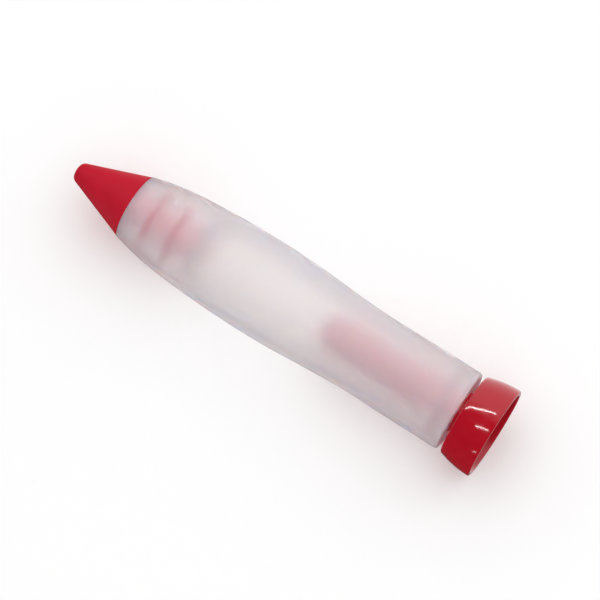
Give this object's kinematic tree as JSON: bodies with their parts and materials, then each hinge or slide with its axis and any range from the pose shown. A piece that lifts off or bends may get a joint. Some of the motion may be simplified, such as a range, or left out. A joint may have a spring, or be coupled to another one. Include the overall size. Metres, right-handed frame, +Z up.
{
  "type": "food decorating pen",
  "caption": "Crayon-shaped squeeze pen for decorating food: translucent silicone tube, red cone nozzle on a barbed spigot, and red cup-shaped end cap with a long stem.",
  "frame": {"origin": "on the surface the pen lies on, under the middle of its length", "axes": "+X along the pen's axis from the nozzle towards the end cap, +Z up; the axis is 14.3 mm above the origin"},
  "size_m": [0.145, 0.0286, 0.0286],
  "materials": {
    "clear_silicone": "milky translucent silicone, satin, faintly textured by the mould",
    "red_matt_plastic": "moulded, matt red",
    "red_gloss_plastic": "moulded, glossy red"
  },
  "bodies": {
    "tube": {"squeeze_tube": "clear_silicone"},
    "nozzle": {"nozzle": "red_matt_plastic"},
    "end_cap": {"end_cap": "red_gloss_plastic"}
  },
  "joints": [
    {"name": "nozzle_pull", "type": "slide", "parent": "tube", "child": "nozzle", "axis": [-1, 0, 0], "range_m": [0, 0.022]},
    {"name": "cap_pull", "type": "slide", "parent": "tube", "child": "end_cap", "axis": [1, 0, 0], "range_m": [0, 0.05]}
  ]
}
